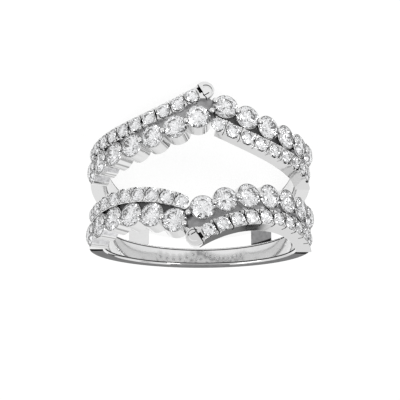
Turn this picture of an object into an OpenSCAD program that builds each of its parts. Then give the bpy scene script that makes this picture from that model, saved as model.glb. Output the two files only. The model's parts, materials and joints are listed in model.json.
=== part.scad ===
// Ring guard enhancer: two chevron bands set with stones, joined behind the finger.
// The ring lies on its side, with its head towards -Y and the finger hole near upright.
// The origin is the middle of the finger hole.

/* [Finger hole] */
// Diameter of the finger hole
finger_d = 17.35; // [15:0.05:21]
// Metal between the finger hole and the outer face of the bands
band_wall = 1.43; // [1.1:0.01:1.8]

/* [Large stones] */
// Girdle diameter of a large stone
large_d = 2.1; // [1.8:0.05:2.4]
// Space between two large stones in the row
large_gap = 0.15; // [0.08:0.01:0.3]
// Large stones on each side of the middle one
large_per_side = 6; // [4:1:6]
// Angle of the middle stone from the middle of the head
middle_angle = -1.2; // [-3:0.1:0]
// Extra space where the row of large stones crosses over
crossing_gap = 0.23; // [0.1:0.01:0.5]

/* [Small stones] */
// Girdle diameter of a small stone
small_d = 1.25; // [1.05:0.05:1.35]
// Space between two small stones in a row
small_gap = 0.24; // [0.18:0.01:0.4]
// Small stones in an outer row, which ends at the tip
outer_small_count = 10; // [6:1:11]
// Small stones in an inner row, which ends at the middle large stone
inner_small_count = 9; // [6:1:10]
// Sideways step from the middle large stone to the first small stone of the outer row
tip_stone_step = 0.5; // [0.2:0.05:0.9]
// Space between the middle large stone and the inner small row
inner_row_gap = 0.12; // [0.08:0.01:0.2]

/* [Stone shape] */
// Table width as a share of the girdle diameter
table_share = 0.56; // [0.5:0.01:0.65]
// Crown height as a share of the girdle diameter
crown_share = 0.15; // [0.12:0.01:0.17]
// Pavilion depth as a share of the girdle diameter
pavilion_share = 0.44; // [0.4:0.005:0.45]
// Girdle thickness as a share of the girdle diameter
girdle_share = 0.03; // [0.02:0.005:0.05]
// Distance of the lower facets' corners from the middle, as a share of the girdle radius
lower_facet_share = 0.25; // [0.2:0.01:0.35]
// Radius of the bottom of a small stone's seat, as a share of the stone's own
small_foot_share = 0.165; // [0.1:0.005:0.2]

/* [Settings] */
// Metal round a large stone at its girdle
collet_wall = 0.09; // [0.08:0.01:0.12]
// Width of a rail that holds small stones
rail_w = 1.42; // [1.35:0.01:1.6]
// Space between a collet and the rail beside it
row_gap = 0.04; // [0.02:0.01:0.1]
// Height of the collets above the rails
collet_rise = 0.05; // [0.02:0.01:0.2]
// Metal floor between the rows, measured from the finger hole
floor_wall = 1.13; // [1:0.01:1.25]
// Clear space between a stone and its seat
seat_gap = 0.03; // [0.02:0.005:0.05]
// Diameter of the hole under a large stone
culet_hole_d = 0.7; // [0.4:0.05:1]
// Diameter of a prong bead between two large stones
prong_d = 0.5; // [0.35:0.01:0.6]
// Height of a prong bead's middle above the girdle
prong_rise = 0.1; // [0.05:0.01:0.2]
// Width of a free prong's post as a share of its bead
post_share = 0.96; // [0.9:0.01:0.98]
// Direction of the tip's prong from the stone that it holds, above a level line
tip_prong_turn = 25; // [10:1:40]

/* [Row lines] */
// Height of the large stones beside the opening, at the side of the ring
large_side = 2.25; // [2:0.01:2.6]
// How far that row climbs towards the middle of the head
large_climb = 2.15; // [1.6:0.01:2.6]
// Angle from the middle at which that row starts to climb
large_reach = 60; // [45:1:75]
// Height of the small stones beside the opening, at the side of the ring
small_side = 2; // [1.8:0.01:2.3]
// How far that row climbs towards the middle of the head
small_climb = 2.4; // [1.8:0.01:2.9]
// Angle from the middle at which that row starts to climb
small_reach = 64; // [50:1:75]
// Extra space between the rows towards the tip
tip_fan = 0.5; // [0.2:0.01:0.8]
// Extra space between the rows on the other side of the middle
crossing_fan = 0.25; // [0.2:0.01:0.5]
// Angle from the middle at which the rows start to part
fan_reach = 50; // [30:1:60]
// How sharply the rows climb, where 1 is a straight line
climb_power = 2.5; // [1.5:0.1:3]

/* [Tip] */
// Radius of the rounded tip of the outer rail
tip_r = 0.85; // [0.75:0.01:1]
// Sideways place of the tip's middle
tip_x = 0.25; // [0:0.01:0.5]
// Width of the raised rim round the tip's recess
tip_rim = 0.22; // [0.15:0.01:0.35]
// Depth of the tip's recess
tip_recess = 0.3; // [0.1:0.01:0.5]
// Turn of the tip's recess about its own middle
tip_recess_turn = 76; // [0:1:119]
// Distance of the recess below the tip's middle
tip_recess_drop = 0.06; // [0:0.01:0.12]

/* [Shank] */
// Height of the shank's outer face at the side of the ring
outer_side = 4.31; // [4:0.01:4.8]
// Height of the shank's outer face at the back
outer_back = 2.3; // [2:0.01:3]
// Height of the shank's inner face at the side of the ring
inner_side = 1.82; // [1.5:0.01:2.1]
// Height of the shank's inner face at the back
inner_back = 0.6; // [0.4:0.01:1]
// The head passes into the shank this far in front of the ring's side
head_end = 0.8; // [0.6:0.05:1]

/* [Bridges] */
// Sideways place of a bridge's inner end
bridge_from = 4.9; // [3:0.05:5.5]
// Sideways place of a bridge's outer end
bridge_to = 6.75; // [6:0.05:7.5]
// Metal thickness of a bridge
bridge_wall = 0.8; // [0.6:0.01:1]
// Step from the bands' outer face to the bridge
bridge_step = 0.15; // [0.05:0.01:0.3]

/* [Hidden] */
finger_r = finger_d / 2;
outer_r = finger_r + band_wall;
floor_r = finger_r + floor_wall;
large_r = large_d / 2;
small_r = small_d / 2;
collet_r = large_r + collet_wall;
collet_top = outer_r + collet_rise;
small_foot_r = small_r * small_foot_share;
large_pitch = large_d + large_gap;
small_pitch = small_d + small_gap;
// From the line of large stones to the line of small stones beside it
nest = collet_r + rail_w / 2 + row_gap;
// Length along the girdles for each degree round the ring
run = collet_top * PI / 180;
// The two half rings overlap by this much, and cutters pass through by it
lap = 0.5;
reach_out = outer_r + 2 * band_wall;
// Angles of the ring's side, and of the last point of a rail's outline
side_angle = 90;
row_end = 72;
rail_step = 6;
NODE_COUNT = 2 * large_per_side + 1;

function climb(angle, reach) = pow(max(0, 1 - abs(angle) / reach), climb_power);
// Heights of the four rows above the middle of the ring, on the left and right of the head
function inner_left(angle) = large_side + large_climb * climb(angle, large_reach);
function inner_right(angle) = small_side + small_climb * climb(angle, small_reach);
function outer_left(angle) = inner_left(angle) + nest + tip_fan * climb(angle, fan_reach);
function outer_right(angle) = inner_right(angle) + nest + crossing_fan * climb(angle, fan_reach);

INNER_LEFT = function (angle) inner_left(angle);
INNER_RIGHT = function (angle) inner_right(angle);
OUTER_LEFT = function (angle) outer_left(angle);
OUTER_RIGHT = function (angle) outer_right(angle);

// Angles of stones that stand one pitch apart along a row, outwards from its first stone
function next_angle(line, angle, pitch, way) =
    angle + way * pitch / norm([run, line(angle + way) - line(angle)]);
function row_angles(line, angle, pitch, way, count) = count <= 0 ? [] :
    concat([angle], row_angles(line, next_angle(line, angle, pitch, way), pitch, way, count - 1));
// Each stone is [angle round the ring, height]
function row(line, angle, pitch, way, count) =
    [for (a = row_angles(line, angle, pitch, way, count)) [a, line(a)]];
function backwards(list) = [for (i = [len(list) - 1:-1:0]) list[i]];

first_right = middle_angle + (large_pitch + crossing_gap) / run;
left_large = row(INNER_LEFT, middle_angle, large_pitch, -1, large_per_side + 1);
right_large = row(OUTER_RIGHT, first_right, large_pitch, 1, large_per_side);
large_row = concat(backwards(left_large), right_large);
outer_small_row = row(OUTER_LEFT, middle_angle - tip_stone_step / run, small_pitch, -1, outer_small_count);
first_inner = middle_angle + (large_r + small_r + inner_row_gap) / run;
inner_small_row = row(INNER_RIGHT, first_inner, small_pitch, 1, inner_small_count);

// Prong beads stand between neighbours in the large row, and one more holds the first
// right-hand stone beside the tip
function between(a, b) = (a + b) / 2;
row_prongs = [for (i = [0:len(large_row) - 2]) between(large_row[i], large_row[i + 1])];
first_right_stone = right_large[0];
tip_prong_reach = collet_r - prong_d / 4;
tip_prong = first_right_stone
    + [-tip_prong_reach * cos(tip_prong_turn) / run, tip_prong_reach * sin(tip_prong_turn)];
prongs = concat(row_prongs, [tip_prong]);
// These two stand free of the collets, on posts
crossing_prongs = [row_prongs[large_per_side], tip_prong];

// Place in the head's outline, seen from in front
function plan(angle, height) = [collet_top * sin(angle), height];
function edge(line, from, to, offset) =
    [for (a = [from:(to > from ? rail_step : -rail_step):to]) plan(a, line(a) + offset)];
function arc(centre, radius, from, to, steps = 6) =
    [for (i = [0:steps]) let (a = from + (to - from) * i / steps) centre + radius * [cos(a), sin(a)]];

half_rail = rail_w / 2;
tip_centre = [tip_x, outer_left(0)];
// A rail's straight outline stops this many degrees short of its rounded end
tip_lead = -6;
under_lead = 3;
upper_lead = 5;
// Ends of the arcs round the tip and round the inner rail's first stone
tip_arc = [105, -45];
inner_arc = [250, 75];
// The tip's foot lies this far down and to the side of the rail's lower edge
tip_foot = tip_r / 8;
inner_start = plan(first_inner, inner_right(first_inner));
outer_rail = concat(
    [[-reach_out, outer_left(side_angle) - half_rail], [-reach_out, outer_left(side_angle) + half_rail]],
    edge(OUTER_LEFT, -row_end, tip_lead, half_rail),
    arc(tip_centre, tip_r, tip_arc[0], tip_arc[1]),
    [tip_centre - [tip_foot, half_rail + tip_foot]],
    edge(OUTER_LEFT, tip_lead, -row_end, -half_rail));
inner_rail = concat(
    edge(INNER_RIGHT, row_end, first_inner + under_lead, -half_rail),
    arc(inner_start, half_rail, inner_arc[0], inner_arc[1]),
    edge(INNER_RIGHT, ceil(first_inner) + upper_lead, row_end, half_rail),
    [[reach_out, inner_right(side_angle) + half_rail], [reach_out, inner_right(side_angle) - half_rail]]);
// The floor runs from row line to row line, so its edges lie under the rails and collets
floor_plan = concat(
    [[-reach_out, inner_left(side_angle)], [-reach_out, outer_left(side_angle)]],
    edge(OUTER_LEFT, -row_end, tip_lead, 0),
    [tip_centre, plan(first_right_stone[0], first_right_stone[1])],
    edge(OUTER_RIGHT, ceil(first_right) + upper_lead, row_end, 0),
    [[reach_out, outer_right(side_angle)], [reach_out, inner_right(side_angle)]],
    edge(INNER_RIGHT, row_end, first_inner + under_lead, 0),
    [inner_start, plan(middle_angle, inner_left(middle_angle))],
    edge(INNER_LEFT, tip_lead, -row_end, 0));

function side_height(at_side, at_back, y) = at_side + (at_back - at_side) * y / outer_r;
function shank_edge(y) =
    [[y, side_height(inner_side, inner_back, y)], [y, side_height(outer_side, outer_back, y)]];
shank_plan = concat(shank_edge(-head_end - lap), backwards(shank_edge(reach_out)));

// The ring leans until the lower tip and the back of the lower shank both touch the ground
tip_height = tip_centre[1] + tip_r;
rest_tilt = atan((tip_height - outer_back) / (finger_r + outer_r));

BANDS = ["upper", "lower"];
ROWS = ["outer", "inner"];
function two_digits(n) = n < 10 ? str("0", n) : str(n);
function large_name(band, i) = str(band, "_large_stone_", two_digits(i));
function small_name(band, which) = str(band, "_", which, "_small_stones");

// Leans the ring as it lies
module lying() rotate([-rest_tilt, 0, 0]) children();

// The lower band is the upper one turned half round the head's direction
module band_place(band) rotate([0, band == "lower" ? 180 : 0, 0]) children();

// Puts a child upright on a circle round the finger hole, at [angle, height]
module on_ring(place, radius)
    rotate([0, 0, place[0]]) translate([0, -radius, place[1]]) rotate([90, 0, 0]) children();
module each_place(places, radius) for (place = places) on_ring(place, radius) children();

// Stone outline turned round its axis, with clear space all round, and open below if asked
module seat_cutter(d, foot_r, open_below) {
    r = d / 2 + seat_gap;
    table_r = d * table_share / 2 + seat_gap;
    half_girdle = d * girdle_share / 2 + seat_gap;
    crown = half_girdle + d * crown_share;
    foot = -half_girdle - d * pavilion_share * (1 - foot_r / r);
    rotate_extrude($fn = 48) polygon(concat(
        open_below ? [[0, -band_wall - lap], [foot_r, -band_wall - lap]] : [[0, foot]],
        [[foot_r, foot], [r, -half_girdle], [r, half_girdle], [table_r, crown], [0, crown]]));
}

module head_prism(outline) translate([0, -head_end, 0]) rotate([90, 0, 0])
    linear_extrude(height = reach_out) polygon(outline);

module shank_prism() rotate([90, 0, 90])
    linear_extrude(height = 2 * reach_out, center = true) polygon(shank_plan);

module round_blank(radius) translate([0, 0, -2 * lap])
    cylinder(r = radius, h = tip_height + 4 * lap, $fn = 180);

// Triangular recess in the top of the tip, inside its rim
module tip_cutter() {
    place = [asin(tip_x / outer_r), tip_centre[1] - tip_recess_drop];
    on_ring(place, outer_r) translate([0, 0, -tip_recess]) rotate([0, 0, tip_recess_turn])
        cylinder(r = tip_r - tip_rim, h = tip_recess + lap, $fn = 3);
}

module band() difference() {
    union() {
        intersection() {
            round_blank(outer_r);
            union() {
                head_prism(outer_rail);
                head_prism(inner_rail);
                shank_prism();
            }
        }
        intersection() {
            round_blank(floor_r);
            head_prism(floor_plan);
        }
        each_place(large_row, collet_top) translate([0, 0, -band_wall - lap])
            cylinder(r = collet_r, h = band_wall + lap, $fn = 48);
        each_place(prongs, collet_top + prong_rise) sphere(d = prong_d, $fn = 24);
        each_place(crossing_prongs, floor_r - lap)
            cylinder(d = prong_d * post_share, h = collet_top + prong_rise - floor_r + lap, $fn = 24);
    }
    translate([0, 0, -3 * lap]) cylinder(r = finger_r, h = tip_height + 6 * lap, $fn = 180);
    each_place(large_row, collet_top) seat_cutter(large_d, culet_hole_d / 2, true);
    each_place(outer_small_row, outer_r) seat_cutter(small_d, small_foot_r, false);
    each_place(inner_small_row, outer_r) seat_cutter(small_d, small_foot_r, false);
    tip_cutter();
}

// Curved bars between the two shanks, behind the finger
module bridges() intersection() {
    half_h = side_height(inner_side, inner_back, finger_r * cos(45)) + lap;
    difference() {
        cylinder(r = outer_r - bridge_step, h = 2 * half_h, center = true, $fn = 180);
        cylinder(r = outer_r - bridge_step - bridge_wall, h = 3 * half_h, center = true, $fn = 180);
    }
    for (side = [-1, 1]) translate([side * (bridge_from + bridge_to) / 2, outer_r / 2, 0])
        cube([bridge_to - bridge_from, outer_r, 4 * half_h], center = true);
}

module guard_frame() color("silver") lying() {
    for (name = BANDS) band_place(name) band();
    bridges();
}

// Round brilliant: table, stars, kites, upper facets, girdle, lower facets and mains
module brilliant(d) {
    r = d / 2;
    half_girdle = d * girdle_share / 2;
    table_r = r * table_share;
    crown = d * crown_share;
    pavilion = d * pavilion_share;
    half_turn = 22.5;
    star_r = (r + table_r) / 2;
    star_z = half_girdle + crown * (r - star_r * cos(half_turn)) / (r - table_r);
    low_r = r * lower_facet_share;
    low_z = -half_girdle - pavilion * (1 - low_r * cos(half_turn) / r);
    function ring(radius, z, count, turn) =
        [for (k = [0:count - 1]) let (a = turn + 360 * k / count) [radius * cos(a), radius * sin(a), z]];
    points = concat(
        ring(table_r, half_girdle + crown, 8, 0),
        ring(star_r, star_z, 8, half_turn),
        ring(r, half_girdle, 16, 0),
        ring(r, -half_girdle, 16, 0),
        ring(low_r, low_z, 8, half_turn),
        [[0, 0, -half_girdle - pavilion]]);
    table = 0;
    star = 8;
    top = 16;
    bottom = 32;
    low = 48;
    culet = 56;
    faces = concat(
        [[for (k = [7:-1:0]) table + k]],
        [for (k = [0:7]) [table + k, table + (k + 1) % 8, star + k]],
        [for (k = [0:7]) each [
            [table + k, star + k, top + 2 * k],
            [table + k, top + 2 * k, star + (k + 7) % 8]]],
        [for (k = [0:7]) each [
            [star + k, top + 2 * k + 1, top + 2 * k],
            [star + k, top + (2 * k + 2) % 16, top + 2 * k + 1]]],
        [for (k = [0:15]) [top + k, top + (k + 1) % 16, bottom + (k + 1) % 16, bottom + k]],
        [for (k = [0:7]) each [
            [bottom + 2 * k, bottom + 2 * k + 1, low + k],
            [bottom + 2 * k + 1, bottom + (2 * k + 2) % 16, low + k]]],
        [for (k = [0:7]) each [
            [culet, bottom + 2 * k, low + k],
            [culet, low + (k + 7) % 8, bottom + 2 * k]]]);
    polyhedron(points, faces);
}

// Single cut for the smallest stones: a table, eight crown facets and eight below
module single_cut(d) {
    half_girdle = d * girdle_share / 2;
    function ring(radius, z) = [for (k = [0:7]) [radius * cos(45 * k), radius * sin(45 * k), z]];
    points = concat(
        ring(d * table_share / 2, half_girdle + d * crown_share),
        ring(d / 2, half_girdle),
        ring(d / 2, -half_girdle),
        [[0, 0, -half_girdle - d * pavilion_share]]);
    faces = concat(
        [[for (k = [7:-1:0]) k]],
        [for (s = [0, 8]) for (k = [0:7]) [s + k, s + (k + 1) % 8, s + 8 + (k + 1) % 8, s + 8 + k]],
        [for (k = [0:7]) [16 + k, 16 + (k + 1) % 8, 24]]);
    polyhedron(points, faces);
}

module large_stone(band, i) color("azure") lying() band_place(band)
    on_ring(large_row[i - 1], collet_top) brilliant(large_d);

module small_stones(band, which) color("aliceblue") lying() band_place(band)
    each_place(which == "outer" ? outer_small_row : inner_small_row, outer_r) single_cut(small_d);

guard_frame();
for (band = BANDS) for (i = [1:NODE_COUNT])
    large_stone(band, i);
for (band = BANDS) for (which = ROWS)
    small_stones(band, which);
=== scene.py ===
"""Ring guard enhancer: two chevron bands of polished white gold, set with round brilliants.

The metal is modelled in millimetres for the upper band as it would lie flat, then each piece is
turned into its place in the leaning ring and brought to metres. The lower band is a copy of the
upper one, turned half round the direction of the head.
"""
import json
import math

import bpy
from mathutils import Matrix, Vector


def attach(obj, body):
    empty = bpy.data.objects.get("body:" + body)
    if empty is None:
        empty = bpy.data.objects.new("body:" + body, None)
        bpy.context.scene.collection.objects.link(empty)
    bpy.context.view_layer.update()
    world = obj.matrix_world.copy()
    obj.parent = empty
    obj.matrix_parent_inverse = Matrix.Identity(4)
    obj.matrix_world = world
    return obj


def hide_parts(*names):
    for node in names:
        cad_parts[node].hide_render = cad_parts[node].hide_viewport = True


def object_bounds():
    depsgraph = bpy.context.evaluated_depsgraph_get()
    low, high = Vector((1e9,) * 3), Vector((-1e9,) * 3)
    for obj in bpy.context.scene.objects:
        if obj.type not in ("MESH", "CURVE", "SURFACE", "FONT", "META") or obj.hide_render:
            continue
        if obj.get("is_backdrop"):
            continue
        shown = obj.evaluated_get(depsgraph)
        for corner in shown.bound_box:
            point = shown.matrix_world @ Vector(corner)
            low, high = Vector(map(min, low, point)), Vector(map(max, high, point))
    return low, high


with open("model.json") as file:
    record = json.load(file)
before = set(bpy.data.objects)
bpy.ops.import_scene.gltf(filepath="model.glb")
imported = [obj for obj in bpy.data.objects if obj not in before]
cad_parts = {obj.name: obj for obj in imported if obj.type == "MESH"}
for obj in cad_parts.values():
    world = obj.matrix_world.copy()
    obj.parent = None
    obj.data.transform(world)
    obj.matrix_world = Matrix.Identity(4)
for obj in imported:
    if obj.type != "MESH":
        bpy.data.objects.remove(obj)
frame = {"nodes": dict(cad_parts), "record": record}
CAD_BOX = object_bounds()
MM = 0.001

# Sizes in millimetres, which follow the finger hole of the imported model
finger_r = next(m for m in frame["record"]["mounts"] if m["name"] == "finger_hole")["dims"]["r_mm"]
wall_t, floor_t, collet_rise = 1.43, 1.13, 0.05
outer_r = finger_r + wall_t
floor_r = finger_r + floor_t
collet_top = outer_r + collet_rise

large_r = 1.05
large_pitch = 2.25
large_per_side = 6
middle_angle = -1.2
crossing_gap = 0.23
collet_wall = 0.09
collet_r = large_r + collet_wall
culet_hole_r = 0.35
prong_r = 0.28
prong_rise = 0.14

small_r = 0.625
small_hole_r = 0.3
small_pitch = 1.49
outer_small_count = 10
inner_small_count = 9
tip_stone_step = 0.5
inner_row_gap = 0.12
seat_gap = 0.03
rail_w = 1.42
rail_gap = 0.04
nest = collet_r + rail_w / 2 + rail_gap
outer_cut_w, inner_cut_w = 0.12, 0.06
bead_size = (0.17, 0.2, 0.4)
bead_along, bead_across, bead_sink = 0.14, 0.55, 0.1

table_share = 0.56
crown_share = 0.15
pavilion_share = 0.44
girdle_share = 0.03

tip_r = 0.85
tip_x = 0.25
tip_lead = -6.0
tip_shift_x, tip_shift_z = 0.15, 0.13

outer_side, outer_back = 4.31, 2.3
inner_side, inner_back = 1.82, 0.6
head_end = 0.8
lap = 0.5
# Where the stripe of painted shadow behind the head's end starts on each side, and its width
step_left, step_right, step_shadow_w = -0.35, 1.2, 0.9
# Collets farther out to the side than this have their outer walls painted light
end_collet = 7.5
# Where the painted highlight on the shank's lower side begins
painted_highlight_from = 6.0

bridge_from, bridge_to = 4.9, 6.75
bridge_sink, bridge_t = 0.15, 0.8
bridge_outer = outer_r - bridge_sink
bridge_inner = bridge_outer - bridge_t
# Height above which one bridge's end is painted black as shadow
bridge_shadow_from = 0.72

rail_corners = (0.1, 0.05)
shank_corners = (0.3, 0.1)
bar_corners = (0.12, 0.12)

# Heights of the rows at the ring's side, how far they climb and from which angle
inner_left_line = (2.25, 2.15, 60)
inner_right_line = (2.0, 2.4, 64)
outer_left_spread = (0.5, 50)
outer_right_spread = (0.25, 50)
climb_power = 2.5

# Length along the girdles for each degree round the ring
run = collet_top * math.pi / 180


def climb(angle, reach):
    return max(0.0, 1 - abs(angle) / reach) ** climb_power


def inner_left(angle):
    low, rise, reach = inner_left_line
    return low + rise * climb(angle, reach)


def inner_right(angle):
    low, rise, reach = inner_right_line
    return low + rise * climb(angle, reach)


def outer_left(angle):
    spread, reach = outer_left_spread
    return inner_left(angle) + nest + spread * climb(angle, reach)


def outer_right(angle):
    spread, reach = outer_right_spread
    return inner_right(angle) + nest + spread * climb(angle, reach)


def row(line, angle, pitch, way, count):
    """Places [angle, height] of stones one pitch apart along a row line."""
    places = []
    for _ in range(count):
        places.append((angle, line(angle)))
        angle += way * pitch / math.hypot(run, line(angle + way) - line(angle))
    return places


first_right = middle_angle + (large_pitch + crossing_gap) / run
large_row = (row(inner_left, middle_angle, large_pitch, -1, large_per_side + 1)[::-1]
             + row(outer_right, first_right, large_pitch, 1, large_per_side))
outer_small_row = row(outer_left, middle_angle - tip_stone_step / run, small_pitch, -1, outer_small_count)
first_inner = middle_angle + (large_r + small_r + inner_row_gap) / run
inner_small_row = row(inner_right, first_inner, small_pitch, 1, inner_small_count)
tip_height = outer_left(0)
tip_place = (math.degrees(math.asin((tip_x + tip_shift_x) / outer_r)), tip_height + tip_shift_z)
tip_turn = math.atan2(outer_left(-1) - outer_left(-3), 2 * run)
rest_tilt = math.atan((tip_height + tip_r - outer_back) / (finger_r + outer_r))


def shank_top(y):
    return outer_side + (outer_back - outer_side) * y / outer_r


def shank_bottom(y):
    return inner_side + (inner_back - inner_side) * y / outer_r


def row_angle(x):
    """The angle round the ring at which a row line passes this far to the side."""
    return math.degrees(math.asin(max(-1.0, min(1.0, x / collet_top))))


def on_ring(place, radius, turn=0.0):
    """Matrix that puts a piece with its axis up onto the ring at [angle, height]."""
    return (Matrix.Rotation(math.radians(place[0]), 4, "Z")
            @ Matrix.Translation((0, -radius, place[1]))
            @ Matrix.Rotation(math.radians(90), 4, "X")
            @ Matrix.Rotation(turn, 4, "Z"))


# Materials: polished metal, diamond, and rough metal with painted light and shade

def principled(name, values):
    material = bpy.data.materials.new(name)
    material.use_nodes = True
    shader = material.node_tree.nodes["Principled BSDF"]
    for socket, value in values.items():
        shader.inputs[socket].default_value = value
    return material, material.node_tree, shader


def patches(tree, scale, detail=2):
    """Noise on the piece's own place."""
    place = tree.nodes.new("ShaderNodeTexCoord")
    noise = tree.nodes.new("ShaderNodeTexNoise")
    noise.inputs["Scale"].default_value = scale
    noise.inputs["Detail"].default_value = detail
    tree.links.new(place.outputs["Object"], noise.inputs["Vector"])
    return noise


def white_gold(name, smoothest, roughest, shade=0.75):
    """Polished metal, a little smoother and rougher in patches."""
    material, tree, shader = principled(name, {"Base Color": (shade, shade, shade, 1), "Metallic": 1.0})
    noise = patches(tree, 900, 3)
    spread = tree.nodes.new("ShaderNodeMapRange")
    spread.inputs["To Min"].default_value = smoothest
    spread.inputs["To Max"].default_value = roughest
    tree.links.new(noise.outputs["Fac"], spread.inputs["Value"])
    tree.links.new(spread.outputs["Result"], shader.inputs["Roughness"])
    return material


def diamond():
    return principled("diamond", {"Base Color": (0.98, 0.985, 1.0, 1), "Roughness": 0.0, "IOR": 2.42,
                                  "Transmission Weight": 1.0})[0]


def painted_shading_gold(name, shade, roughness, edge_shade):
    """Rough metal whose colour is painted light and shade: painted shade between and behind the stones,
    painted light where it is pale. Darker in random patches, and darker towards its edge.
    """
    material, tree, shader = principled(name, {
        "Metallic": 1.0, "Roughness": roughness, "Specular Tint": (edge_shade, edge_shade, edge_shade, 1)})
    noise = patches(tree, 2500)
    ramp = tree.nodes.new("ShaderNodeValToRGB")
    ramp.color_ramp.elements[0].color = (shade * 0.6, shade * 0.6, shade * 0.61, 1)
    ramp.color_ramp.elements[1].color = (shade * 1.4, shade * 1.4, shade * 1.42, 1)
    tree.links.new(noise.outputs["Fac"], ramp.inputs["Fac"])
    tree.links.new(ramp.outputs["Color"], shader.inputs["Base Color"])
    return material


GOLD = white_gold("white_gold", 0.035, 0.1)
# A painted highlight: the same metal much lighter, on the shank's lower side towards the back
PAINTED_HIGHLIGHT_GOLD = white_gold("bright_gold", 0.035, 0.1, 0.98)
SATIN_GOLD = white_gold("satin_gold", 0.08, 0.1)
# Painted grey shade between the rows, under the prong beads and on one bridge, and a painted grey reflection
# on the shank's upper side
PAINTED_GREY_SHADE = painted_shading_gold("floor_gold", 0.3, 0.3, 0.4)
# Painted deep shade on the floor right of the crossing, and as a dark line along the bore's edges
PAINTED_DEEP_SHADE = painted_shading_gold("deep_gold", 0.08, 0.3, 0.2)
# Painted light on the outer walls of the end collets
PAINTED_LIGHT_GOLD = painted_shading_gold("pale_gold", 0.8, 0.6, 0.8)
# Painted black shade on the walls of cuts, slots and notches, and painted black shadow behind the head's end
# and on one bridge's end
PAINTED_BLACK_SHADE = painted_shading_gold("cut_gold", 0.03, 0.5, 0.05)
DIAMOND = diamond()


# Tools for modelling by operators

def alone(piece):
    """Selects this piece only and makes it the active one."""
    bpy.ops.object.select_all(action="DESELECT")
    piece.select_set(True)
    bpy.context.view_layer.objects.active = piece
    return piece


def added(name):
    """Names the primitive that was just added, with its place and size in its mesh."""
    piece = bpy.context.object
    piece.name = name
    piece.data.name = name
    alone(piece)
    bpy.ops.object.transform_apply(location=True, rotation=True, scale=True)
    return piece


def pick(piece, kind, wanted):
    """Selects the vertices, edges or faces whose place or normal passes the test."""
    alone(piece)
    bpy.ops.object.mode_set(mode="EDIT")
    bpy.ops.mesh.select_mode(type=kind)
    bpy.ops.mesh.select_all(action="DESELECT")
    bpy.ops.object.mode_set(mode="OBJECT")
    mesh = piece.data
    if kind == "VERT":
        for v in mesh.vertices:
            v.select = wanted(v.co)
    elif kind == "FACE":
        for f in mesh.polygons:
            f.select = wanted(f.center, f.normal)
    bpy.ops.object.mode_set(mode="EDIT")


def leave():
    bpy.ops.object.mode_set(mode="OBJECT")


def shift_points(piece, rule):
    """Moves each point of a mesh to where the rule says."""
    for v in piece.data.vertices:
        v.co = rule(v.co.copy())
    piece.data.update()


def outward(piece):
    """Merges doubles and turns all faces outwards."""
    pick(piece, "VERT", lambda co: True)
    bpy.ops.mesh.remove_doubles(threshold=0.0005)
    bpy.ops.mesh.normals_make_consistent(inside=False)
    leave()


def joined(name, parts):
    bpy.ops.object.select_all(action="DESELECT")
    for part in parts:
        part.select_set(True)
    bpy.context.view_layer.objects.active = parts[0]
    bpy.ops.object.join()
    parts[0].name = name
    parts[0].data.name = name
    return parts[0]


def copied(piece, name, matrix):
    """A copy with a mesh of its own, put in place by a matrix."""
    twin = piece.copy()
    twin.data = piece.data.copy()
    twin.name = name
    twin.data.name = name
    twin.data.transform(matrix)
    bpy.context.scene.collection.objects.link(twin)
    return twin


def set_at(piece, name, places, radius, turns=None):
    """One mesh with a copy of the piece at each place, whose first model is then removed."""
    copies = [copied(piece, name, on_ring(place, radius, turns(i) if turns else 0.0))
              for i, place in enumerate(places)]
    bpy.data.objects.remove(piece)
    return joined(name, copies)


def dress(piece, material):
    piece.data.materials.clear()
    piece.data.materials.append(material)
    return piece


def dress_where(piece, material, rest, wanted):
    """One material on the faces whose middle and normal pass the test, and another on the rest."""
    return add_material(dress(piece, rest), material, wanted)


def add_material(piece, material, wanted):
    """Gives one more material to the faces whose middle and normal pass the test, often painted light and
    shade.
    """
    piece.data.materials.append(material)
    for face in piece.data.polygons:
        if wanted(face.center, face.normal):
            face.material_index = len(piece.data.materials) - 1
    return piece


def painted_shade_walls(cutter):
    """Paints black shade on the walls of the cut that this cutter leaves, and keeps its bottom the bright
    metal.
    """
    return dress_where(cutter, PAINTED_BLACK_SHADE, GOLD, lambda middle, normal: abs(normal.z) < 0.5)


def cut(piece, cutter, crossing=False):
    """Takes the cutter away from the piece. Crossing is for a cutter whose parts meet each other.

    Each wall of the cut takes the material of the cutter's face there, painted shade included.
    """
    for metal in (piece, cutter):
        if not metal.data.materials:
            dress(metal, GOLD)
    alone(piece)
    tool = piece.modifiers.new("cut", "BOOLEAN")
    tool.object = cutter
    tool.operation = "DIFFERENCE"
    tool.solver = "EXACT"
    tool.material_mode = "TRANSFER"
    tool.use_self = crossing
    bpy.ops.object.modifier_apply(modifier=tool.name)
    bpy.data.objects.remove(cutter)
    return piece


def smooth(piece, degrees=35):
    alone(piece)
    bpy.ops.object.shade_smooth_by_angle(angle=math.radians(degrees), keep_sharp_edges=True)
    even = piece.modifiers.new("even", "WEIGHTED_NORMAL")
    even.keep_sharp = True
    bpy.ops.object.modifier_apply(modifier=even.name)
    return piece


def turned(name, profile, sides, closed_top=True, closed_bottom=True):
    """A turned piece with its axis up. The profile lists (radius, height) from the bottom up."""
    radius, height = profile[0]
    bpy.ops.mesh.primitive_circle_add(vertices=sides, radius=radius, location=(0, 0, height),
                                      fill_type="NGON" if closed_bottom else "NOTHING")
    piece = added(name)
    bpy.ops.object.mode_set(mode="EDIT")
    bpy.ops.mesh.select_mode(type="EDGE")
    bpy.ops.mesh.select_all(action="SELECT")
    for (r0, h0), (r1, h1) in zip(profile, profile[1:]):
        bpy.ops.mesh.extrude_edges_move(TRANSFORM_OT_translate={"value": (0, 0, h1 - h0)})
        bpy.ops.transform.resize(value=(r1 / r0, r1 / r0, 1), center_override=(0, 0, h1))
    if closed_top:
        bpy.ops.mesh.edge_face_add()
    leave()
    outward(piece)
    return piece


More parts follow.
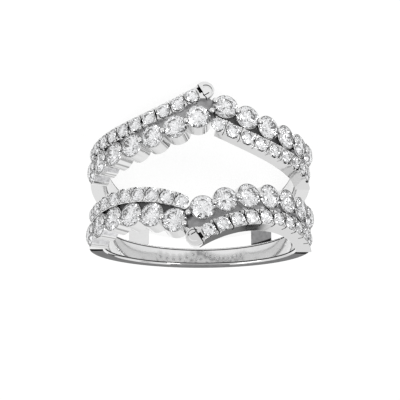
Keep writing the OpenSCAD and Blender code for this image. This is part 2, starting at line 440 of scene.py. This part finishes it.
def swept(name, from_angle, to_angle, radii, corners, top, bottom, step=1.0):
    """A bar bent round the ring. Its top and bottom follow height rules of (x, y)."""
    inner, outer = radii
    half = 0.5
    bpy.ops.mesh.primitive_plane_add(size=1, rotation=(0, math.radians(90), 0))
    piece = added(name)
    piece.data.transform(Matrix.Translation((0, -(inner + outer) / 2, 0))
                         @ Matrix.Diagonal((1, outer - inner, 2 * half, 1)))
    piece.data.transform(Matrix.Rotation(math.radians(from_angle), 4, "Z"))
    for radius, corner in zip(radii, corners):
        pick(piece, "VERT", lambda co, radius=radius: abs(math.hypot(co.x, co.y) - radius) < 0.001)
        bpy.ops.mesh.bevel(offset=corner, segments=4, affect="VERTICES")
        leave()
    pick(piece, "VERT", lambda co: True)
    steps = max(2, round(abs(to_angle - from_angle) / step))
    bpy.ops.mesh.spin(steps=steps, angle=math.radians(to_angle - from_angle), center=(0, 0, 0),
                      axis=(0, 0, -1))
    leave()

    def follow(co):
        if co.z > 0:
            return Vector((co.x, co.y, top(co.x, co.y) + co.z - half))
        return Vector((co.x, co.y, bottom(co.x, co.y) + co.z + half))

    shift_points(piece, follow)
    outward(piece)
    return piece


def sliced(piece, point, normal):
    """Cuts away what lies beyond a plane and closes the cut."""
    pick(piece, "VERT", lambda co: True)
    bpy.ops.mesh.bisect(plane_co=point, plane_no=normal, use_fill=True, clear_outer=True)
    leave()
    return piece


def scored(piece, point):
    """Adds a level line of edges all round a piece."""
    pick(piece, "VERT", lambda co: True)
    bpy.ops.mesh.bisect(plane_co=point, plane_no=(0, 0, 1))
    leave()
    return piece


# Metal of one band

def seat_cutter(r_stone, hole_r):
    """The stone's outline with clear space all round and a light hole below, as a turned cutter."""
    d = 2 * r_stone
    r = r_stone + seat_gap
    half_girdle = d * girdle_share / 2 + seat_gap
    cone_foot = -half_girdle - d * pavilion_share * (1 - hole_r / r)
    return turned("seat_cutter", [(hole_r, finger_r - outer_r - 0.3), (hole_r, cone_foot), (r, -half_girdle),
                                  (r, half_girdle + 0.6)], 40)


def gaps_of(places):
    """Middle of each gap between neighbours, with the lean of the row there in radians."""
    found = []
    for a, b in zip(places, places[1:]):
        lean = math.atan2(b[1] - a[1], (b[0] - a[0]) * run)
        found.append((((a[0] + b[0]) / 2, (a[1] + b[1]) / 2), lean))
    return found


def rail_cuts(piece, places, cross_cut_w):
    """A seat for each small stone, scalloped at the rail's inner edge with a crescent of painted black
    shade, and a cut across each gap whose walls are painted black as shade.
    """
    cut(piece, set_at(seat_cutter(small_r, small_hole_r), "seats", places, outer_r))
    scallop = turned("scallop", [(small_r + 0.06, -0.16), (small_r + 0.06, 0.5)], 40)
    scallop.data.transform(Matrix.Translation((0, -0.07, 0)))
    # Painted shade: the scallop's walls are black, a dark crescent beside each stone
    painted_shade_walls(scallop)
    cut(piece, set_at(scallop, "scallops", places, outer_r))
    bpy.ops.mesh.primitive_cube_add(size=1)
    blade = added("blade")
    blade.data.transform(Matrix.Diagonal((cross_cut_w, 2.2, 0.9, 1)))
    blades = [copied(blade, "blade", on_ring(place, outer_r, lean)) for place, lean in gaps_of(places)]
    bpy.data.objects.remove(blade)
    # Painted shade: the walls of each cut across a gap are black
    return cut(piece, dress(joined("blades", blades), PAINTED_BLACK_SHADE))


def small_beads(name, places):
    """Four tiny square prongs round each gap between two small stones."""
    bpy.ops.mesh.primitive_cube_add(size=1)
    bead = added("bead")
    bead.data.transform(Matrix.Diagonal((*bead_size, 1)))
    pick(bead, "VERT", lambda co: True)
    bpy.ops.mesh.bevel(offset=0.03, segments=2)
    leave()
    outward(bead)
    beads = []
    for place, lean in gaps_of(places):
        for along in (-bead_along, bead_along):
            for across in (-bead_across, bead_across):
                turn = on_ring(place, outer_r, lean) @ Matrix.Translation((along, across, -bead_sink))
                beads.append(copied(bead, name, turn))
    bpy.data.objects.remove(bead)
    return joined(name, beads)


def collets(name):
    """Cups for the large stones, open to the finger hole, each a closed ring of metal."""
    foot = -1.0
    cone_foot = -0.03 - 2 * large_r * pavilion_share * (1 - culet_hole_r / (large_r + seat_gap))
    seat_r = large_r + seat_gap
    profile = [(culet_hole_r, cone_foot), (culet_hole_r, foot), (collet_r - 0.03, foot),
               (collet_r, foot + 0.03), (collet_r, -0.1), (collet_r - 0.012, -0.05),
               (collet_r - 0.035, -0.01), (seat_r, 0.0), (seat_r, -0.06)]
    cup = turned("cup", profile, 48, closed_top=False, closed_bottom=False)

    def open_edge(co):
        r = math.hypot(co.x, co.y)
        return (co.z > cone_foot - 0.001 and abs(r - culet_hole_r) < 0.001
                or abs(co.z + 0.06) < 0.001 and r < seat_r + 0.001)

    pick(cup, "VERT", open_edge)
    bpy.ops.mesh.select_mode(type="EDGE")
    bpy.ops.mesh.bridge_edge_loops()
    leave()

    def down_to_hole(co):
        if co.z < foot + 0.05:
            depth = collet_top - math.sqrt(finger_r ** 2 - co.x ** 2)
            co.z = co.z - foot - depth
        return co

    outward(cup)
    copies = []
    for place in large_row:
        one = copied(cup, name, Matrix.Identity(4))
        shift_points(one, down_to_hole)
        one.data.transform(on_ring(place, collet_top))
        copies.append(one)
    bpy.data.objects.remove(cup)
    return joined(name, copies)


def prong_places():
    middles = [((a[0] + b[0]) / 2, (a[1] + b[1]) / 2) for a, b in zip(large_row, large_row[1:])]
    reach = collet_r - 0.125
    turn = math.radians(25)
    stone = large_row[large_per_side + 1]
    return middles + [(stone[0] - reach * math.cos(turn) / run, stone[1] + reach * math.sin(turn))]


def prongs(name):
    """Round beads on posts that hold neighbouring large stones."""
    profile = [(0.22, -0.9), (0.22, -0.12)]
    for i in range(1, 12):
        a = math.radians(-50 + 140 * i / 12)
        profile.append((prong_r * math.cos(a), prong_rise + prong_r * math.sin(a)))
    bead = turned("prong", profile, 24)
    # The post and underside of each bead: rougher, as unpolished metal, and darker, as painted shade
    dress_where(bead, PAINTED_GREY_SHADE, GOLD, lambda middle, normal: normal.z < 0.6)
    return set_at(bead, name, prong_places(), collet_top)


def between_lines(points, x):
    """Height at x on a chain of straight pieces."""
    for (x0, z0), (x1, z1) in zip(points, points[1:]):
        if x <= x1:
            return z0 + (z1 - z0) * (x - x0) / (x1 - x0)
    return points[-1][1]


def floor(name):
    """Thin metal between the rows, open under each large stone."""
    def plan(angle, line):
        return collet_top * math.sin(math.radians(angle)), line(angle)

    crossing_top = [plan(tip_lead, outer_left), (tip_x, tip_height - 0.2),
                    plan(first_right, outer_right), plan(first_right + 5, outer_right)]
    crossing_foot = [plan(tip_lead, inner_left), plan(middle_angle, inner_left),
                     plan(first_inner, inner_right), plan(first_inner + 3, inner_right)]

    def top(x, y):
        if x < crossing_top[0][0]:
            return outer_left(row_angle(x))
        if x > crossing_top[-1][0]:
            return outer_right(row_angle(x))
        return between_lines(crossing_top, x)

    def foot(x, y):
        if x < crossing_foot[0][0]:
            return inner_left(row_angle(x))
        if x > crossing_foot[-1][0]:
            return inner_right(row_angle(x))
        return between_lines(crossing_foot, x)

    piece = swept(name, -86, 86, (finger_r, floor_r), (0.05, 0.05), top, foot)
    sliced(piece, (0, -head_end, 0), (0, 1, 0))
    for reach, places in ((collet_r - 0.02, large_row), (small_r + 0.05, outer_small_row + inner_small_row)):
        well = turned("well", [(reach, -2.0), (reach, 0.6)], 40)
        cut(piece, set_at(well, "wells", places, collet_top), crossing=True)
    return piece


def tip_block(name):
    """Rounded end of the outer rail, with a raised rim round a bright-cut recess whose walls are painted
    black as shade, and a notch painted black as shade.
    """
    foot = outer_r - math.sqrt(finger_r ** 2 - tip_r ** 2 / 2)
    block = turned(name, [(tip_r * 0.72, -foot), (tip_r, -0.3), (tip_r, -0.07), (tip_r - 0.03, -0.02),
                          (tip_r - 0.08, 0.0)], 48)
    recess = turned("recess", [(0.42, -0.16), (0.55, -0.1), (0.6, 0.1)], 40)
    recess.data.transform(Matrix.Translation((0.06, -0.1, 0)))
    painted_shade_walls(recess)
    cut(block, recess)
    bpy.ops.mesh.primitive_cube_add(size=1)
    notch = added("notch")
    notch.data.transform(Matrix.Translation((-0.05, -0.36, -0.1)) @ Matrix.Diagonal((0.6, 0.09, 0.3, 1)))
    cut(block, dress(notch, PAINTED_BLACK_SHADE))
    block.data.transform(on_ring(tip_place, outer_r, tip_turn))
    return block


def tip_cut(piece):
    """The gap across the rail between its last stone and the tip, with its walls painted black as shade."""
    bpy.ops.mesh.primitive_cube_add(size=1)
    blade = added("blade")
    blade.data.transform(Matrix.Translation((-0.28, 0, -0.2)) @ Matrix.Diagonal((0.1, 2.4, 1.4, 1)))
    bpy.ops.mesh.primitive_cube_add(size=1)
    corner = added("corner")
    corner.data.transform(Matrix.Translation((-0.42, 0.22, 0)) @ Matrix.Diagonal((0.26, 0.6, 0.36, 1)))
    dark = joined("tip_cuts", [blade, corner])
    dark.data.transform(on_ring(tip_place, outer_r, tip_turn))
    return cut(piece, dress(dark, PAINTED_BLACK_SHADE), crossing=True)


def shank_satin_and_painted_shading(piece):
    """Satin inside, with a dark line of painted shade along its inner edges, a painted highlight on its
    lower side towards the back, a painted grey reflection on its upper side, and a painted black shadow
    stripe where the head ends.
    """
    def outwards(middle, normal):
        return (normal.x * middle.x + normal.y * middle.y) / math.hypot(middle.x, middle.y)

    def past_step(middle):
        return middle.y - (step_left if middle.x > 0 else step_right)

    dress(piece, GOLD)
    # Painted shade: a dark line along the bore's edges; the satin middle is real roughness
    add_material(piece, PAINTED_DEEP_SHADE, lambda middle, normal: outwards(middle, normal) < -0.9)
    add_material(piece, SATIN_GOLD, lambda middle, normal: outwards(middle, normal) < -0.995)
    # Painted highlight on the lower side, and on the upper side painted grey reflection with a black stripe
    # of painted shadow behind the head's end
    add_material(piece, PAINTED_HIGHLIGHT_GOLD, lambda middle, normal: normal.z < -0.9 and middle.y > painted_highlight_from)
    add_material(piece, PAINTED_GREY_SHADE, lambda middle, normal: normal.z > 0.9 and past_step(middle) > 0)
    add_material(piece, PAINTED_BLACK_SHADE, lambda middle, normal: normal.z > 0.9 and 0 < past_step(middle) < step_shadow_w)
    return piece


def band_pieces():
    """The metal pieces of the upper band, in the band's own place."""
    outer_rail = swept("outer_rail", -88, 3, (finger_r, outer_r), rail_corners,
                       lambda x, y: outer_left(row_angle(min(x, 0))) + rail_w / 2,
                       lambda x, y: outer_left(row_angle(min(x, 0))) - rail_w / 2)
    sliced(outer_rail, (0, -head_end, 0), (0, 1, 0))
    sliced(outer_rail, (tip_x, 0, 0), (1, 0, 0))
    tip = tip_cut(tip_block("tip"))
    tip_cut(outer_rail)
    rail_cuts(outer_rail, outer_small_row, outer_cut_w)
    inner_rail = swept("inner_rail", first_inner - 1, 88, (finger_r, outer_r), rail_corners,
                       lambda x, y: inner_right(row_angle(x)) + rail_w / 2,
                       lambda x, y: inner_right(row_angle(x)) - rail_w / 2)
    sliced(inner_rail, (0, -head_end, 0), (0, 1, 0))
    rail_cuts(inner_rail, inner_small_row, inner_cut_w)
    shank_start = math.degrees(math.acos((head_end + lap) / outer_r))
    shank = swept("shank", shank_start - 2, 360 - shank_start + 2, (finger_r, outer_r), shank_corners,
                  lambda x, y: shank_top(y), lambda x, y: shank_bottom(y), step=1.5)
    sliced(shank, (0, -head_end - lap, 0), (0, -1, 0))
    shank_satin_and_painted_shading(shank)
    made = {
        "outer_rail": outer_rail,
        "tip": tip,
        "inner_rail": inner_rail,
        "shank": shank,
        # Painted shade on the floor between the rows, grey, and deep to the right of the crossing; its edge
        # faces stay polished
        "floor": add_material(dress_where(floor("floor"), PAINTED_DEEP_SHADE, PAINTED_GREY_SHADE,
                                        lambda middle, normal: middle.x > tip_x + 1),
                            GOLD, lambda middle, normal: abs(normal.z) > 0.5),
        # Painted light on the outer walls of the end collets
        "collets": dress_where(collets("collets"), PAINTED_LIGHT_GOLD, GOLD,
                               lambda middle, normal: abs(middle.x) > end_collet and abs(normal.z) > 0.6
                               and normal.y < -0.4),
        "prongs": prongs("prongs"),
        "outer_beads": small_beads("outer_beads", outer_small_row),
        "inner_beads": small_beads("inner_beads", inner_small_row),
    }
    for piece in made.values():
        smooth(piece)
    return made


def bridges():
    """Two curved bars that join the shanks behind the finger."""
    bars = []
    for side in (-1, 1):
        bar = swept("bar", 180 - 48 * side, 180 - 27 * side, (bridge_inner, bridge_outer), bar_corners,
                    lambda x, y: shank_bottom(y) + lap, lambda x, y: -shank_bottom(y) - lap)
        sliced(bar, (side * bridge_from, 0, 0), (-side, 0, 0))
        sliced(bar, (side * bridge_to, 0, 0), (side, 0, 0))
        bars.append(bar)
    # One bar is painted grey shade, with painted black shadow at its end above a level line; the other stays
    # polished
    dress(bars[1], GOLD)
    scored(bars[0], (0, 0, bridge_shadow_from))
    dress_where(bars[0], PAINTED_BLACK_SHADE, PAINTED_GREY_SHADE, lambda middle, normal: middle.z > bridge_shadow_from)
    return smooth(joined("bridges", bars))


# Stones

def brilliant(name, r):
    """Round brilliant of 57 facets, shaped as the hull of its facet corners."""
    half_girdle = r * girdle_share
    crown = 2 * r * crown_share
    pavilion = 2 * r * pavilion_share
    table_r = r * table_share
    star_r = (r + table_r) / 2
    half_step = math.radians(22.5)
    star_z = half_girdle + crown * (r - star_r * math.cos(half_step)) / (r - table_r)
    low_r = r * 0.25
    low_z = -half_girdle - pavilion * (1 - low_r * math.cos(half_step) / r)
    rings = [(8, table_r, half_girdle + crown, 0), (8, star_r, star_z, half_step),
             (16, r, half_girdle, 0), (16, r, -half_girdle, 0), (8, low_r, low_z, half_step),
             (8, 0.004, -half_girdle - pavilion, 0)]
    parts = []
    for count, radius, height, turn in rings:
        bpy.ops.mesh.primitive_circle_add(vertices=count, radius=radius, location=(0, 0, height),
                                          rotation=(0, 0, turn))
        parts.append(added("ring"))
    stone = joined(name, parts)
    pick(stone, "VERT", lambda co: True)
    bpy.ops.mesh.convex_hull()
    bpy.ops.mesh.select_all(action="SELECT")
    bpy.ops.mesh.dissolve_limited(angle_limit=math.radians(0.5))
    leave()
    return stone


LEAN = Matrix.Rotation(-rest_tilt, 4, "X")
BAND_TURN = {"upper": Matrix.Identity(4), "lower": Matrix.Rotation(math.pi, 4, "Y")}


def finish_piece(piece, matrix, material, slot, *nodes):
    """Brings a piece from its own place in millimetres to the lying ring in metres."""
    piece.data.transform(Matrix.Scale(MM, 4) @ LEAN @ matrix)
    if not piece.data.materials:
        dress(piece, material)
    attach(piece, "root")
    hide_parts(*nodes)


for part_name, model in band_pieces().items():
    for band, turn in BAND_TURN.items():
        twin = copied(model, f"{band}_{part_name}", Matrix.Identity(4))
        finish_piece(twin, turn, GOLD, "white_gold", "guard_frame")
    bpy.data.objects.remove(model)
finish_piece(bridges(), Matrix.Identity(4), GOLD, "white_gold", "guard_frame")

for part_name, places in (("outer", outer_small_row), ("inner", inner_small_row)):
    model = set_at(brilliant("stones", small_r), "stones", places, outer_r, turns=lambda i: 0.7 * i)
    for band, turn in BAND_TURN.items():
        twin = copied(model, f"{band}_{part_name}_brilliants", Matrix.Identity(4))
        finish_piece(twin, turn, DIAMOND, "diamond", f"{band}_{part_name}_small_stones")
    bpy.data.objects.remove(model)

for node_name, node in frame["nodes"].items():
    if "_large_stone_" in node_name:
        dress(node, DIAMOND)


# Studio

def studio_floor():
    lowest = min(CAD_BOX[0][2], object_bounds()[0][2])
    bpy.ops.mesh.primitive_plane_add(size=0.14, location=(0, 0, lowest - 0.00002))
    sheet = added("studio_floor")
    material = bpy.data.materials.new("studio_floor")
    material.use_nodes = True
    tree = material.node_tree
    shader = tree.nodes["Principled BSDF"]
    shader.inputs["Base Color"].default_value = (0.2, 0.2, 0.2, 1)
    shader.inputs["Roughness"].default_value = 0.9
    shader.inputs["Emission Color"].default_value = (1, 1, 1, 1)
    shader.inputs["Emission Strength"].default_value = 0.84
    sheet.data.materials.append(material)
    sheet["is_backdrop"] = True


def sky_ramp(tree, height, stops):
    """Brightness of the studio round the ring by height, from straight down to straight up."""
    ramp = tree.nodes.new("ShaderNodeValToRGB")
    elements = ramp.color_ramp.elements
    for i, (position, value) in enumerate(stops):
        stop = elements[i] if i < 2 else elements.new(position)
        stop.position = position
        stop.color = (value, value, value, 1)
    tree.links.new(height, ramp.inputs["Fac"])
    return ramp.outputs["Color"]


def studio_world():
    """A bright tent with grey cards overhead and round the camera, and a black one on the right."""
    world = bpy.data.worlds.new("studio")
    bpy.context.scene.world = world
    world.use_nodes = True
    tree = world.node_tree
    place = tree.nodes.new("ShaderNodeTexCoord")
    parts = tree.nodes.new("ShaderNodeSeparateXYZ")
    tree.links.new(place.outputs["Generated"], parts.inputs["Vector"])
    height = tree.nodes.new("ShaderNodeMapRange")
    height.inputs["From Min"].default_value = -1
    tree.links.new(parts.outputs["Z"], height.inputs["Value"])
    upper = [(0.77, 1.05), (0.785, 0.5), (0.83, 0.5), (0.845, 1.1), (0.925, 1.1), (0.95, 0.35), (1.0, 0.35)]
    left = sky_ramp(tree, height.outputs["Result"], [(0.0, 0.95), (0.5, 0.85)] + upper)
    right = sky_ramp(tree, height.outputs["Result"], [
        (0.0, 0.95), (0.43, 0.95), (0.445, 0.22), (0.503, 0.22), (0.509, 0.02), (0.524, 0.02), (0.534, 0.95)]
        + upper)
    span = tree.nodes.new("ShaderNodeMapRange")
    span.inputs["From Min"].default_value = -0.13
    span.inputs["From Max"].default_value = -0.17
    tree.links.new(parts.outputs["X"], span.inputs["Value"])
    blend = tree.nodes.new("ShaderNodeMix")
    blend.data_type = "RGBA"
    tree.links.new(span.outputs["Result"], blend.inputs["Factor"])
    tree.links.new(left, blend.inputs["A"])
    tree.links.new(right, blend.inputs["B"])
    tree.links.new(blend.outputs["Result"], tree.nodes["Background"].inputs["Color"])


def soft_light(name, place, width, height, power):
    """A soft rectangular light that looks at the ring."""
    data = bpy.data.lights.new(name, "AREA")
    data.shape = "RECTANGLE"
    data.size, data.size_y = width, height
    data.energy = power
    lamp = bpy.data.objects.new(name, data)
    lamp.location = place
    lamp.rotation_euler = (-Vector(place)).to_track_quat("-Z", "Y").to_euler()
    bpy.context.scene.collection.objects.link(lamp)


def camera():
    """Camera at the photograph's angle to the ring, above the floor."""
    photo_px, focal_px, sensor_mm = 400, 1857, 36
    distance = 170.7 * MM
    elevation = math.radians(22.49)
    back = LEAN.to_3x3() @ Vector((0, -math.cos(elevation), math.sin(elevation)))
    up = LEAN.to_3x3() @ Vector((0, -math.sin(elevation), -math.cos(elevation)))
    right = up.cross(back)
    data = bpy.data.cameras.new("camera")
    data.sensor_width = sensor_mm
    data.lens = focal_px / photo_px * sensor_mm
    data.shift_x = -0.17 / photo_px
    data.shift_y = 5.98 / photo_px
    data.clip_start = 0.01
    data.clip_end = 5
    eye = bpy.data.objects.new("camera", data)
    turn = Matrix((right, up, back)).transposed().to_4x4()
    eye.matrix_world = Matrix.Translation(back * distance) @ turn
    bpy.context.scene.collection.objects.link(eye)
    bpy.context.scene.camera = eye


studio_floor()
studio_world()
soft_light("key_light", (-0.25, -0.2, 0.35), 0.12, 0.12, 0.3)
soft_light("fill_light", (0.3, 0.1, 0.3), 0.08, 0.2, 0.2)
camera()
bpy.context.scene.view_settings.view_transform = "Standard"
